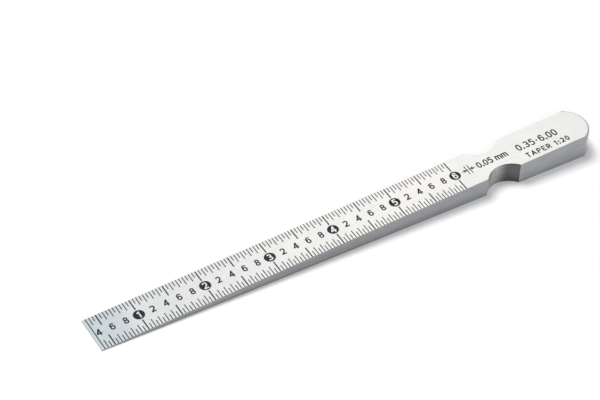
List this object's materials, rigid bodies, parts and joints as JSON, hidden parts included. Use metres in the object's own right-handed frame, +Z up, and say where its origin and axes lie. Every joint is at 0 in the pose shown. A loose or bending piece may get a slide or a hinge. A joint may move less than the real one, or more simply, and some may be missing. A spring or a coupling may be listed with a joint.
{
  "type": "taper gauge",
  "caption": "One-piece steel wedge gauge on one straight taper from thin tip to thick handle, with an etched thickness scale along both edges, a waisted neck and a rounded end.",
  "frame": {"origin": "middle of the gauge's length and width, on its flat underside", "axes": "+X along the gauge from the thin tip to the handle, +Y across the blade, +Z up through the thickness"},
  "size_m": [0.1586, 0.012, 0.0082],
  "materials": {
    "ground_steel": "satin, surface ground",
    "scale_black": "matt black filling of the etched scale"
  },
  "bodies": {
    "root": {"gauge_body": "ground_steel"}
  },
  "joints": []
}
